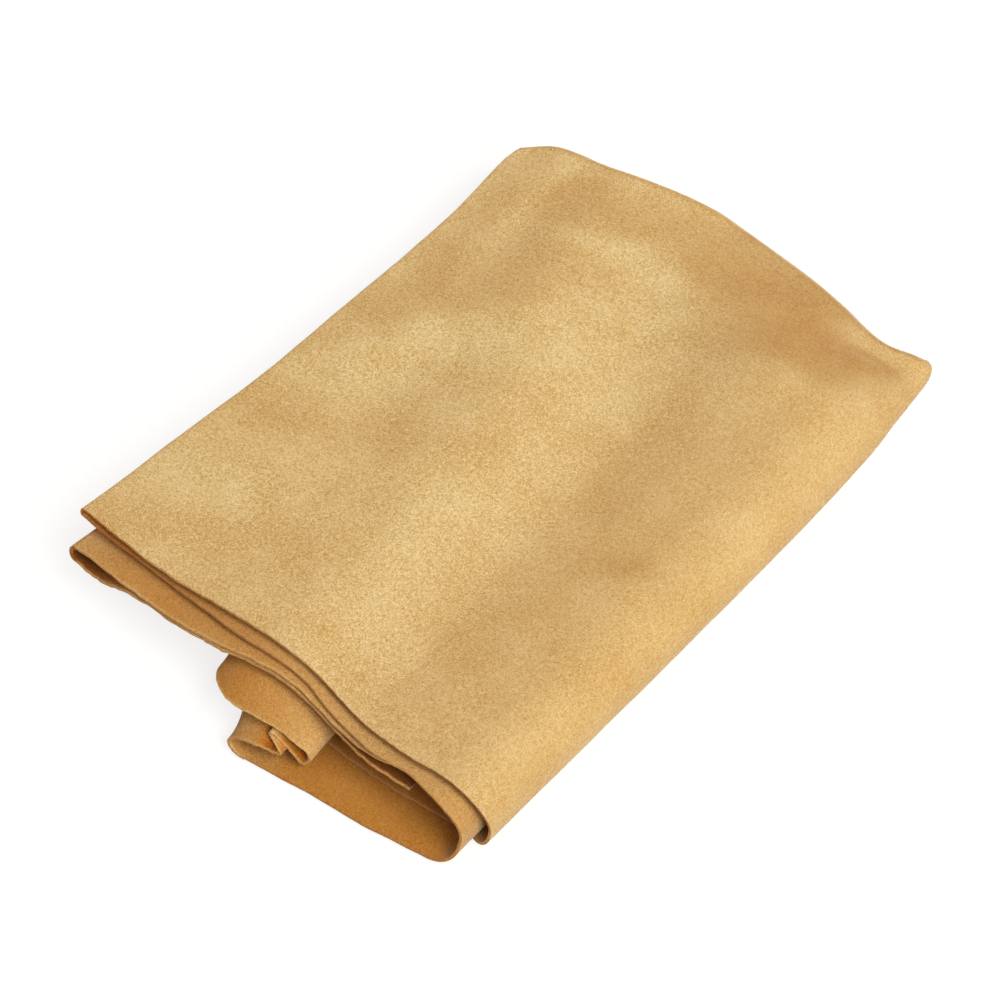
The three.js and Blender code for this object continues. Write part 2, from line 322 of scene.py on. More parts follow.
def top_height(x, y):
    """The height of the top leaf without its swells and creases."""
    crest_x = smooth_line(CREST_X, y)
    valley_x = smooth_line(VALLEY_X, y)
    foot_x = mix(PAD_LEFT, crest_x, FOOT_SHARE)
    height = smooth_line(LEFT_HEIGHT, y)
    height = mix(height, smooth_line(FOOT_HEIGHT, y), ease(x, PAD_LEFT, foot_x))
    height = mix(height, smooth_line(CREST_HEIGHT, y), ease(x, foot_x, crest_x))
    height = mix(height, smooth_line(VALLEY_HEIGHT, y), ease(x, crest_x, valley_x))
    height = mix(height, smooth_line(SHOULDER_HEIGHT, y), ease(x, valley_x, SHOULDER_X))
    back = smooth_line(BACK_LINE, x)
    return height - smooth_line(BACK_FALL, x) * ease(y, back - FALL_LENGTH, back + FALL_BEYOND)


crest, valley = top_height(CREST_X[0][1], 0), top_height(VALLEY_X[2][1], VALLEY_X[2][0])
print("top leaf", round(crest, 1), "mm high at the crest and", round(valley, 1), "in the valley")

# %% Swells and creases of the top leaf
# Each swell has the x and y of its middle, its direction in degrees, half its length, half its width and
# its rise.
SWELLS = {
    "ridge to the far left": (-167, 171, 57, 44, 21, 2.8),
    "swell at the left": (-165, 77, 10, 35, 30, 1.6),
    "swell beside the shoulder": (-40, 233, 0, 26, 17, 3.2),
    "small swell on the last fold": (-18, 112, 10, 13, 11, 1.8),
    "pinch at the back corner": (-11, 276, 8, 17, 7, -2.4),
    "long crease": (-108, 91, -51, 30, 3.5, 0.5),
    "short crease": (-58, 33, 97, 18, 3.5, -0.35),
    "crease at the back": (-23, 257, -57, 14, 3.5, 0.4),
}


def swell(along, y):
    """How far the swells lift a place on the top leaf."""
    lift = 0.0
    for middle_x, middle_y, direction, length, width, rise in SWELLS.values():
        turned = math.radians(direction)
        over = (along - middle_x) * math.cos(turned) + (y - middle_y) * math.sin(turned)
        aside = (y - middle_y) * math.cos(turned) - (along - middle_x) * math.sin(turned)
        lift += rise * math.exp(-((over / length) ** 2) - (aside / width) ** 2)
    return lift


print(len(SWELLS), "swells and creases")

# %% [markdown]
# ## The leaves and their cut edges
#
# Each leaf has a depth under the top leaf, which shrinks to the back where the folds press the leaves
# together, and a front edge of its own, because a hide isn't cut square. The last fold bends each leaf
# round the hinge on a quarter turn above it and another below, tighter for the inner leaves.

# %% Depths and front edges of the upper leaves
BACK_PRESS = 0.62
PRESS_START = 110.0
SECOND_DEPTH = ((-200, 2.4), (-190, 4.4), (-168, 5.4), (-110, 5.2), (-40, 4.4), (HINGE_ALONG, 6.2))
THIRD_DEPTH = ((-200, 12.4), (-186, 11.0), (-165, 10.2), (-110, 8.8), (-40, 7.4), (HINGE_ALONG, 10.0))
FOURTH_DEPTH = (
    (-200, 19.0), (-193, 20.6), (-185, 20.0), (-178, 17.2), (-170, 14.2), (-150, 12.2), (-110, 10.8),
    (-74, 10.4), (-52, 11.6), (-29, 14.4),
)
LOOP_ROUND = 0.7
INNER_INSET = 3.3
INSET_LENGTH = 140.0
TOP_EDGE = (
    (-201, 10), (-164, 6), (-129, 5.3), (-101, 5), (-84, 4.6), (-71, 2.6), (-53, -1.1), (-32, -2.3),
    (-16, -1.9), (-5, -2.0), (HINGE_ALONG, -0.8),
)
SECOND_EDGE = (
    (-200, 9), (-155, 6), (-115, 1.6), (-85, 1.4), (-67, -3), (-45, -6.7), (-30, -5.9), (-12, -9.3),
    (HINGE_ALONG, -10),
)
THIRD_EDGE = (
    (-200, 0), (-188, -1), (-172, -3), (-130, -4.7), (-97, -1.4), (-74, -3.1), (-48, -6.4), (-28, -1),
    (HINGE_ALONG, 2),
)
FOURTH_EDGE = ((-200, -1), (-172, -2.6), (-130, -4.7), (-97, -1.8), (-74, -3.1), (-48, -7), (-28, -5.6))
LEFT_LINE = (
    (0, -201.2), (60, -198.3), (105, -196), (150, -195.2), (230, -195.2), (264, -198.2), (276, -198.7),
    (288, -197),
)
FOLD_SLUMP = ((0, 4.0), (60, 6.5), (140, 9.4), (200, 11.0), (240, 10.6), (270, 8.3), (300, 6.0))


def depth_at(depths, along, y):
    """How deep a leaf lies under the top leaf, less at the back, where the folds press it."""
    return smooth_line(depths, along) * mix(1.0, BACK_PRESS, ease(y, PRESS_START, BACK_Y))


def across(along, y, under):
    """The x of a place on a flat part of the pad, whose left side isn't quite straight."""
    share = (along - PAD_LEFT) / (BEND_X - PAD_LEFT)
    left = smooth_line(LEFT_LINE, y) + INNER_INSET * under * (1.0 - ease(y, 0.0, INSET_LENGTH))
    return mix(left, BEND_X, share)


def upper_place(along, y, depth, under):
    """A place on an upper leaf, given as x, y and z in millimetres."""
    lift = swell(along, y)
    if along <= BEND_X:
        return (across(along, y, under), y, top_height(along, y) + lift - depth)
    turn = (along - BEND_X) / FOLD_REACH
    rise = top_height(BEND_X, y) + lift - depth - HINGE_Z
    reach = FOLD_REACH + smooth_line(FOLD_SLUMP, y) + lift - depth
    return (BEND_X + reach * math.sin(turn), y, HINGE_Z + rise * math.cos(turn))


print("front edges run from", TOP_EDGE[0][1], "to", SECOND_EDGE[-1][1], "mm")

# %% Depths, heights and front edges of the lower leaves
GROUND_Z = LEATHER / 2 + 0.1
BOTTOM_Z = GROUND_Z + 1.5
INNER_Z = BOTTOM_Z + 2.4
LIP_Z = INNER_Z + 1.5
GROUND_EDGE = ((-200, 12), (-60, 9), (-18, 5), (-9, 1), (0, -0.6), (HINGE_ALONG, -0.8))
BOTTOM_EDGE = (
    (-106, -22), (-85, -20.6), (-70, -19.4), (-40, -18), (-17, -15.4), (-4, -12.4), (HINGE_ALONG, -10),
)
INNER_EDGE = ((-78, 2), (-50, 0), (-23, 1), (HINGE_ALONG, 2))
LOWER_ROUND = 0.65
INNER_LEFT = -92.0
LIP_LEFT = -62.0
GROUND_INSET = 8.0
TAIL_FOLD_X = -96.6
TAIL_FLARE = 80.0
FLARE_START = -22.0
FLARE_END = 84.0


def lower_place(along, y, depth, height):
    """A place on a lower leaf, which lies flat and then bends up to the hinge."""
    if along <= BEND_X:
        return (along, y, height)
    turn = (along - BEND_X) / FOLD_REACH
    reach = FOLD_REACH + smooth_line(FOLD_SLUMP, y) - depth
    x = BEND_X + reach * math.sin(turn) ** LOWER_ROUND
    return (x, y, HINGE_Z - (HINGE_Z - height) * math.cos(turn))


def tail_fold_x(y):
    """The x of the fold where the bottom leaf turns up, which runs to the left behind the front."""
    return TAIL_FOLD_X - TAIL_FLARE * ease(y, FLARE_START, FLARE_END)


print("lower leaves at", GROUND_Z, BOTTOM_Z, INNER_Z, "mm")

# %% [markdown]
# ## From a flat blank to a bent sheet
#
# A hide starts flat, so each sheet starts as a flat grid. Every column of the grid is a place along the
# hide's width and every row a place along its length, and bending is nothing but moving each point to where
# the folds put it. Points outside the cut outline are deleted. The sheet then gets a thickness, and its
# cut rim a material of its own, by Solidify. A small uneven pull, the same in every run because it is
# seeded, keeps the leather from looking machined. Each point also carries how deep the tone of its leather
# is, which is partly the deeper leather inside the pad and partly painted shade: up to 1 it deepens the
# colour, from 1 on it adds a painted orange shade, and from 2 on a painted dark shade. The inner face of a
# sheet can carry more painted shade than its outer face.

# %% Cut edges and tones
EDGE_FRAY = 0.45
SLOW_FRAY = 9.0
FAST_FRAY = 2.6
FAST_SHARE = 0.6
FAST_LAYER = 5.0
FRAY_FADE = 8
TATTERED = 1.8
NEAT = 0.4
# Each leaf has the line of its front edge, how ragged that is, and a seed for its noise.
FRONT_EDGES = {
    "top": (TOP_EDGE, 1.0, 1.0),
    "second": (SECOND_EDGE, 1.0, 2.0),
    "third": (THIRD_EDGE, TATTERED, 3.0),
    "fourth": (FOURTH_EDGE, TATTERED, 4.0),
    "bottom": (BOTTOM_EDGE, NEAT, 6.0),
    "inner": (INNER_EDGE, 1.0, 7.0),
}
# The side the light is taken to come from: slopes turned away from it get painted orange shade.
PAINTED_LIGHT_SIDE = Vector((0.5, -0.866, 0.0))
FULL_SLOPE = 0.31
UPRIGHT = 0.80
LYING = 0.96


def places(*runs):
    """Places along a blank, from runs of part, steps, start and end."""
    made = []
    for part, steps, start, end in runs:
        first = 0 if not made or made[-1][0] != part else 1
        made += [(part, mix(start, end, i / steps)) for i in range(first, steps + 1)]
    return made


def fray(along, seed):
    """How far a cut edge strays from its line."""
    slow = noise.noise(Vector((along / SLOW_FRAY, seed, 0.0)))
    fast = noise.noise(Vector((along / FAST_FRAY, seed, FAST_LAYER)))
    return EDGE_FRAY * (slow + FAST_SHARE * fast) * ease(along, HINGE_ALONG, BEND_X)


def front_line(leaf, along, share):
    """The y of a leaf's front edge, whose fray fades out with the share of the way to the back."""
    edge, roughness, seed = FRONT_EDGES[leaf]
    return smooth_line(edge, along) + roughness * fray(along, seed) * (1.0 - share) ** FRAY_FADE


def orange_shade_of_slope(normal):
    """How much painted orange shade a slope turned away from the light gets, fading out where the leather
    stands upright.
    """
    away = -normal.dot(PAINTED_LIGHT_SIDE) / FULL_SLOPE
    return min(max(away, 0.0), 1.0) * ease(normal.z, UPRIGHT, LYING)


def split_tone(amount):
    """How much of a tone is deeper leather with painted shade, painted orange shade and painted dark shade.
    """
    return min(amount, 1.0), max(amount - 1.0, 0.0), max(amount - 2.0, 0.0)


print(len(FRONT_EDGES), "front edges, frayed by about", EDGE_FRAY, "mm")

# %% Bend a blank
WRINKLE = 0.22
WRINKLE_SIZE = 16.0
WRINKLE_SEED = 1
WELD = 0.01

noise.seed_set(WRINKLE_SEED)


def bent_sheet(name, columns, rows, place, is_leather, how_deep_and_shaded, inner_face_shading=None):
    """A flat grid, cut to its outline and bent to the places, in millimetres, of its columns and rows."""
    blank = bmesh.new()
    bmesh.ops.create_grid(blank, x_segments=len(columns) - 1, y_segments=len(rows) - 1, size=1.0)
    inside = blank.verts.layers.float.new("inside")
    orange_shade = blank.verts.layers.float.new("orange_shade")
    shade = blank.verts.layers.float.new("shade")
    inner_face_shade = blank.verts.layers.float.new("inner_face_shade")
    waste = []
    for vert in blank.verts:
        column = columns[round((vert.co.x + 1) / 2 * (len(columns) - 1))]
        row = rows[round((vert.co.y + 1) / 2 * (len(rows) - 1))]
        if not is_leather(column, row):
            waste.append(vert)
        vert[inside], vert[orange_shade], vert[shade] = split_tone(how_deep_and_shaded(column, row))
        vert[inner_face_shade] = inner_face_shading(column, row) if inner_face_shading else 0.0
        vert.co = Vector(place(column, row))
    bmesh.ops.delete(blank, geom=waste, context="VERTS")
    bmesh.ops.remove_doubles(blank, verts=blank.verts, dist=WELD)
    blank.normal_update()
    # Painted orange shade on slopes turned away from the light.
    for vert in blank.verts:
        vert[orange_shade] = max(vert[orange_shade], orange_shade_of_slope(vert.normal))
        vert.co += WRINKLE * noise.noise_vector(vert.co / WRINKLE_SIZE)
    for vert in blank.verts:
        vert.co = corner + vert.co * MM
    for face in blank.faces:
        face.smooth = True
    data = bpy.data.meshes.new(name)
    blank.to_mesh(data)
    blank.free()
    sheet = bpy.data.objects.new(name, data)
    bpy.context.scene.collection.objects.link(sheet)
    return sheet


print("leather is pulled by up to", WRINKLE, "mm")

# %% Thicken a sheet
SHARP_EDGE = math.radians(55.0)


def thicken(sheet, face_material, rim_material):
    """Give a sheet its thickness and its rim, and add painted shade to its inner face, the second half of
    its points.
    """
    sheet.data.materials.append(face_material)
    sheet.data.materials.append(rim_material)
    wall = sheet.modifiers.new("thickness", "SOLIDIFY")
    wall.thickness = LEATHER * MM
    wall.offset = 0.0
    wall.use_even_offset = False
    wall.material_offset_rim = 1
    bpy.context.view_layer.update()
    graph = bpy.context.evaluated_depsgraph_get()
    finished = bpy.data.meshes.new_from_object(sheet.evaluated_get(graph))
    finished.name = sheet.name
    finished.set_sharp_from_angle(angle=SHARP_EDGE)
    layers = ("inside", "orange_shade", "shade", "inner_face_shade")
    inside, orange_shade, shade, inner_face_shade = (finished.attributes[layer].data for layer in layers)
    # The inner face adds its painted shade of the loops and the mouth to its tone.
    for i in range(len(finished.vertices) // 2, len(finished.vertices)):
        tone, orange_part, dark = split_tone(inside[i].value + inner_face_shade[i].value)
        inside[i].value = tone
        orange_shade[i].value = max(orange_part, orange_shade[i].value)
        shade[i].value = max(dark, shade[i].value)
    finished.attributes.remove(finished.attributes["inner_face_shade"])
    sheet.modifiers.clear()
    sheet.data = finished


print("sheets are", LEATHER, "mm thick")

# %% [markdown]
# ## The nap of the leather
#
# A chamois is sanded on both sides, so it has no smooth grain but a short, woolly nap. Up close it is a
# field of small light and dark grains about half a millimetre wide; from further away it is softly mottled
# where the nap lies one way or the other. Three sizes of noise give the grains, the tufts and the mottling,
# the finer two also lift the surface a little, and a sheen stands for the fibres that catch the light.
# Toward the last fold and inside the pad the nap is less ruffled, so its grains are fainter there. Slopes
# that turn away from the light are painted a deeper orange, as painted shade. Leather inside the pad is
# given a deeper colour, partly as leather that light and use haven't bleached and partly as painted shade
# under the leaves above, and painted shade darkens it further in the narrow loops and in the mouth of the
# last fold. Each sheet carries these amounts, and the colour is tinted by them.

# %% Colours and noise of the nap
NAP_DARK = (0.60, 0.335, 0.10, 1.0)
NAP_MID = (0.75, 0.525, 0.24, 1.0)
NAP_LIGHT = (0.88, 0.70, 0.40, 1.0)
# Tint of the deeper inside leather, which also stands for painted shade under the leaves.
INSIDE_AND_SHADE_TINT = (0.71, 0.425, 0.165, 1.0)
# Tint of the painted orange shade on slopes turned away from the light and in loops.
ORANGE_SHADE_TINT = (0.80, 0.565, 0.26, 1.0)
# Tint of the painted dark shade in the deepest loops, the mouth and beside the pleat.
SHADE_TINT = (0.44, 0.47, 0.95, 1.0)
# Each noise has a scale, a detail and a roughness.
GRAIN = (1900.0, 2.0, 0.6)
TUFT = (680.0, 3.0, 0.6)
MOTTLE = (34.0, 3.0, 0.55)
TUFT_SHARE = 0.3
MOTTLE_SHARE = 0.16
DARK_TONE = 0.42
MIDDLE_TONE = 0.5
LIGHT_TONE = 0.58
NAP_LIFT = 0.001
NAP_BUMP = 0.8
SMOOTH_AT = 0.2
SMOOTH_SHARE = 0.66
FINISH = {
    "Roughness": 0.95,
    "Specular IOR Level": 0.15,
    "Sheen Weight": 0.6,
    "Sheen Roughness": 0.3,
    "Sheen Tint": (1.0, 0.87, 0.68, 1.0),
}
print("nap grains", round(1000 / GRAIN[0], 2), "mm, tufts", round(1000 / TUFT[0], 2), "mm")


# %% Suede material
def noise_node(tree, vector, scale, detail, roughness):
    """Noise of one size at every place of the leather."""
    node = tree.nodes.new("ShaderNodeTexNoise")
    node.inputs["Scale"].default_value = scale
    node.inputs["Detail"].default_value = detail
    node.inputs["Roughness"].default_value = roughness
    tree.links.new(vector, node.inputs["Vector"])
    return node.outputs["Fac"]


def carried(tree, name):
    """What the sheet carries at each place under this name."""
    node = tree.nodes.new("ShaderNodeAttribute")
    node.attribute_name = name
    return node.outputs["Fac"]


def smoothed_inside(tree, tone):
    """The tone, evened out toward its middle where the nap is less ruffled."""
    ruffled = ranged(tree, carried(tree, "inside"), SMOOTH_AT, 1.0, SMOOTH_SHARE)
    return mixed(tree, "FLOAT", ruffled, MIDDLE_TONE, tone)


def tinted(tree, colour, name, colour_tint):
    """The colour, tinted by as much as the sheet carries at each place."""
    tint = mixed(tree, "RGBA", carried(tree, name), WHITE, colour_tint)
    return mixed(tree, "RGBA", 1.0, colour, tint, "MULTIPLY")


def suede(name, dark, mid, light, bump_strength):
    """A napped leather from three tones, lifted by its grains and tufts."""
    made = bpy.data.materials.new(name)
    made.use_nodes = True
    tree = made.node_tree
    shader = tree.nodes["Principled BSDF"]
    vector = tree.nodes.new("ShaderNodeTexCoord").outputs["Object"]
    grain, tuft, mottle = (noise_node(tree, vector, *size) for size in (GRAIN, TUFT, MOTTLE))
    nap = mixed(tree, "FLOAT", TUFT_SHARE, grain, tuft)
    mottled = mixed(tree, "FLOAT", MOTTLE_SHARE, nap, mottle)
    ramp = tree.nodes.new("ShaderNodeValToRGB")
    low, high = ramp.color_ramp.elements
    low.position, low.color = DARK_TONE, dark
    high.position, high.color = LIGHT_TONE, light
    ramp.color_ramp.elements.new(MIDDLE_TONE).color = mid
    tree.links.new(smoothed_inside(tree, mottled), ramp.inputs["Fac"])
    leather = ramp.outputs["Color"]
    # Painted shade: the tone is deepened by the inside amount and by the painted orange and dark shade.
    for layer, colour_tint in (("inside", INSIDE_AND_SHADE_TINT), ("orange_shade", ORANGE_SHADE_TINT), ("shade", SHADE_TINT)):
        leather = tinted(tree, leather, layer, colour_tint)
    tree.links.new(leather, shader.inputs["Base Color"])
    bump = tree.nodes.new("ShaderNodeBump")
    bump.inputs["Strength"].default_value = bump_strength
    bump.inputs["Distance"].default_value = NAP_LIFT
    tree.links.new(nap, bump.inputs["Height"])
    tree.links.new(bump.outputs["Normal"], shader.inputs["Normal"])
    for setting, value in FINISH.items():
        shader.inputs[setting].default_value = value
    return made


nap_finish = suede("chamois_nap", NAP_DARK, NAP_MID, NAP_LIGHT, NAP_BUMP)
print("face", nap_finish.name)

# %% [markdown]
# The rim is where the knife went through the hide. It shows the matted fibres of the middle, which are
# a little more orange than the sanded faces.

# %% Cut edge material
RIM_DARK = (0.56, 0.27, 0.08, 1.0)
RIM_MID = (0.72, 0.40, 0.13, 1.0)
RIM_LIGHT = (0.84, 0.55, 0.23, 1.0)
RIM_BUMP = 0.9
rim_finish = suede("chamois_cut_edge", RIM_DARK, RIM_MID, RIM_LIGHT, RIM_BUMP)
print("cut edge", rim_finish.name)

# %% [markdown]
# ## The outer sheet
#
# The outside of the pad is one stretch of hide: it starts under the pad, comes round the last fold, lies on
# top as the top leaf and turns under at the left and at the back, where it becomes the fourth leaf. The
# two turns meet at the far left corner, where the fold simply carries on round the corner, as it does when
# a doubled sheet is folded over. One grid holds all of it, so no seam shows.

# %% Tones and painted shade of the sheets
# Amounts of tone, partly deeper inside leather and partly painted shade under leaves, in loops and by the
# pleat.
TOP_INSIDE = ((-140, 0.0), (-75, 0.05), (-30, 0.2))
FOURTH_TONE_AND_SHADE = 1.05
SECOND_TONE_AND_SHADE = (
    (-200, 1.5), (-185, 1.2), (-160, 0.9), (-110, 0.7), (-85, 0.66), (-60, 0.54), (-25, 0.6),
    (HINGE_ALONG, 0.58),
)
THIRD_TONE_AND_SHADE = ((-200, 0.6), (-170, 0.85), (-110, 0.8), (-60, 0.65), (HINGE_ALONG, 0.6))
BOTTOM_TONE_AND_SHADE = 1.0
BOTTOM_SHADE_SHARE = 0.3
# The tail's places are the points of its section.
TAIL_TONE_AND_SHADE = (
    (0, 0.8), (4.6, 0.9), (5.7, 2.6), (6.4, 2.4), (7.5, 1.2), (9, 0.7), (11, 0.4), (12.2, 1.6),
    (14.2, 1.6), (15.4, 0.55), (18, 0.65), (20.5, 0.9), (24, 1.0),
)
RIM_INSIDE = 0.4
MOUTH_RIM_INSIDE = 0.7
# Painted shade of the inner faces in the loops at the left and in the mouth of the last fold.
LOOP_SHADE = 2.0
LOOP_SHADE_END = -165.0
MOUTH_SHADE = 2.0
MOUTH_START = -95.0
MOUTH_END = -60.0
print("mouth of the last fold shaded from", MOUTH_START, "mm")

# %% Blank of the outer sheet
EDGE_SHARE = 0.012
outer_columns = places(
    ("left fold", 14, math.pi, 0.0),
    ("upper", 92, PAD_LEFT, BEND_X),
    ("upper", 16, BEND_X, HINGE_ALONG),
    ("lower", 16, HINGE_ALONG, BEND_X),
    ("ground", 34, 1.0, 0.0),
)
outer_rows = places(
    ("over", 138, 0.0, 1.0),
    ("back fold", 14, 0.0, math.pi),
    ("under", 68, 1.0, EDGE_SHARE),
    ("under", 3, EDGE_SHARE, 0.0),
)
print("outer blank", len(outer_columns), "by", len(outer_rows), "points")

# %% Rows of the upper leaves
OUTER_BULGE = 5.0
INNER_BULGE = 1.6


def outer_row(row, along):
    """The y of a row of the upper part, and its depth under the top leaf."""
    part, value = row
    back = smooth_line(BACK_LINE, along)
    if part == "over":
        return mix(front_line("top", along, value), back, value), 0.0
    if part == "under":
        y = mix(front_line("fourth", along, value), back, value)
        return y, depth_at(FOURTH_DEPTH, along, y)
    return back + OUTER_BULGE * math.sin(value), across_fold(value) * depth_at(FOURTH_DEPTH, along, back)


def inner_row(row, along):
    """The same for the leaves inside, from the second leaf round to the third."""
    part, value = row
    back = smooth_line(BACK_LINE, along)
    if part == "over":
        y = mix(front_line("second", along, value), back, value)
        return y, depth_at(SECOND_DEPTH, along, y)
    if part == "under":
        y = mix(front_line("third", along, value), back, value)
        return y, depth_at(THIRD_DEPTH, along, y)
    second, third = (depth_at(depths, along, back) for depths in (SECOND_DEPTH, THIRD_DEPTH))
    return back + INNER_BULGE * math.sin(value), mix(second, third, across_fold(value))


print("back folds bulge by", OUTER_BULGE, "mm outside and", INNER_BULGE, "mm inside")

# %% Outer sheet
FOURTH_RIGHT = -29.0


def outer_place(column, row):
    """Where the folds put a point of the outer sheet."""
    part, along = column
    if part == "upper":
        y, depth = outer_row(row, along)
        return upper_place(along, y, depth, row[0] == "under")
    if part == "left fold":
        outer_y, outer_depth = outer_row(row, PAD_LEFT)
        inner_y, inner_depth = inner_row(row, PAD_LEFT)
        share = across_fold(along)
        reach = LOOP_ROUND * math.hypot(outer_y - inner_y, outer_depth - inner_depth) / 2
        y = mix(outer_y, inner_y, share)
        depth = mix(outer_depth, inner_depth, share)
        left = across(PAD_LEFT, y, row[0] == "under")
        height = top_height(PAD_LEFT, y) + swell(PAD_LEFT, y)
        return (left - reach * math.sin(along), y, height - depth)
    part_of_row, value = row
    if part == "ground":
        left = tail_fold_x(mix(0.0, BACK_Y, value if part_of_row == "over" else 1.0)) + GROUND_INSET
        along = mix(left, BEND_X, along)
    if part_of_row == "over":
        y = mix(smooth_line(GROUND_EDGE, along), smooth_line(BACK_LINE, along), value)
        return lower_place(along, y, 0.0, GROUND_Z)
    y, depth = outer_row(row, along)
    share = across_fold(value) if part_of_row == "back fold" else 1.0
    return lower_place(along, y, depth, mix(GROUND_Z, LIP_Z, share))


def outer_is_leather(column, row):
    """Whether a point is inside the cut outline: most of the turned-under part ends at the last fold."""
    if row[0] == "over" or column[0] == "left fold":
        return True
    if column[0] == "upper":
        return row[0] == "back fold" or column[1] <= FOURTH_RIGHT
    if column[0] == "lower":
        return row[0] == "back fold"
    return row[0] == "back fold" and mix(tail_fold_x(BACK_Y), BEND_X, column[1]) > LIP_LEFT


def outer_tone_and_shade(column, row):
    """How deep the tone and painted shade of the outer sheet are at a point."""
    part, along = column
    place = {"left fold": PAD_LEFT, "upper": along}.get(part, BEND_X)
    under = {"over": 0.0, "back fold": ease(row[1], QUARTER, math.pi), "under": 1.0}[row[0]]
    amount = mix(smooth_line(TOP_INSIDE, place), FOURTH_TONE_AND_SHADE, under)
    if part == "left fold":
        amount = mix(amount, THIRD_TONE_AND_SHADE[0][1], across_fold(along))
    return RIM_INSIDE if row == ("under", 0.0) else amount


def outer_inner_face_shade(column, row):
    """How much painted shade the inner face gets, in the loops at the left and in the mouth of the last
    fold.
    """
    part, along = column
    if part == "left fold":
        return LOOP_SHADE
    if part != "upper" or row == ("under", 0.0):
        return 0.0
    in_loop = 1.0 - ease(along, PAD_LEFT, LOOP_SHADE_END)
    in_mouth = ease(along, MOUTH_START, MOUTH_END)
    return LOOP_SHADE * in_loop + MOUTH_SHADE * in_mouth


outer_sheet = bent_sheet(
    "outer_sheet", outer_columns, outer_rows, outer_place, outer_is_leather, outer_tone_and_shade, outer_inner_face_shade,
)
thicken(outer_sheet, nap_finish, rim_finish)
print("outer sheet", len(outer_sheet.data.polygons), "faces")

# %% [markdown]
# ## The inner sheet
#
# Inside it lies the next stretch: the second leaf, which comes round the last fold as the bottom leaf, and
# behind the inner back fold the third leaf, which comes round as the inner leaf and ends in the mouth of
# the fold. It starts on the line where the outer sheet's left fold ends, so the hide carries on.

# %% Blank of the inner sheet
inner_columns = places(
    ("upper", 70, PAD_LEFT, BEND_X),
    ("upper", 16, BEND_X, HINGE_ALONG),
    ("lower", 16, HINGE_ALONG, BEND_X),
    ("bottom", 44, 1.0, 0.0),
)
inner_rows = places(
    ("over", 84, 0.0, 1.0),
    ("back fold", 10, 0.0, math.pi),
    ("under", 82, 1.0, EDGE_SHARE),
    ("under", 3, EDGE_SHARE, 0.0),
)
print("inner blank", len(inner_columns), "by", len(inner_rows), "points")


# %% Inner sheet
def inner_place(column, row):
    """Where the folds put a point of the inner sheet."""
    part, along = column
    if part == "upper":
        y, depth = inner_row(row, along)
        return upper_place(along, y, depth, row[0] == "under")
    part_of_row, value = row
    if part == "bottom":
        left = INNER_LEFT
        if part_of_row == "over":
            left = tail_fold_x(mix(BOTTOM_EDGE[0][1], BACK_Y, value))
        along = mix(left, BEND_X, along)
    back = smooth_line(BACK_LINE, along)
    y, depth = inner_row(row, along)
    if part_of_row == "over":
        y = mix(front_line("bottom", along, value), back, value)
        return lower_place(along, y, depth, BOTTOM_Z)
    if part_of_row == "under":
        y = mix(front_line("inner", along, value), back, value)
        return lower_place(along, y, depth, INNER_Z)
    return lower_place(along, y, depth, mix(BOTTOM_Z, INNER_Z, across_fold(value)))


def inner_tone_and_shade(column, row):
    """How deep the tone and painted shade of the inner sheet are at a point."""
    part, along = column
    tones = SECOND_TONE_AND_SHADE if row[0] == "over" else THIRD_TONE_AND_SHADE
    if row == ("under", 0.0):
        return RIM_INSIDE if part == "upper" else MOUTH_RIM_INSIDE
    if part == "upper":
        return smooth_line(tones, along)
    if part == "lower":
        return mix(tones[-1][1], BOTTOM_TONE_AND_SHADE, ease(along, HINGE_ALONG, BEND_X))
    return mix(TAIL_TONE_AND_SHADE[0][1], BOTTOM_TONE_AND_SHADE, ease(along, 0.0, BOTTOM_SHADE_SHARE))


def whole(column, row):
    """Nothing is cut away."""
    return True


inner_sheet = bent_sheet("inner_sheet", inner_columns, inner_rows, inner_place, whole, inner_tone_and_shade)
thicken(inner_sheet, nap_finish, rim_finish)
print("inner sheet", len(inner_sheet.data.polygons), "faces")

# %% [markdown]
# ## The rolled tail
#
# The bottom leaf is longer than the pad at the left. Its tail turns up in a soft fold, goes back to the
# right, is squeezed into a sharp pleat, and rolls over in an open loop under the fourth leaf. Seen from the
# front it is one line, so it is drawn as one: a few points on the section, each at a height that is a
# share of the room under the fourth leaf, with a smooth curve through them.

# %% Section of the tail
PLEAT_X = -84.0
ROLL_OVERHANG = 26.8
TAIL_LIFT = 1.45
LIFT_LENGTH = 24.0
DROOP_LENGTH = 26.0
ROLL_EDGE = -12.5
TAIL_EDGE = -22.0
FRONT_ROOM = 30.4


def tail_room(x, y):
    """How much room the tail has under the fourth leaf, as a share of that at the front."""
    return (top_height(x, y) - depth_at(FOURTH_DEPTH, x, y) - BOTTOM_Z) / FRONT_ROOM


def tail_lift(y):
    """How much the tail, pressed flat at its cut edge, rounds up behind it."""
    return mix(1.0, TAIL_LIFT, ease(y, TAIL_EDGE, TAIL_EDGE + LIFT_LENGTH))


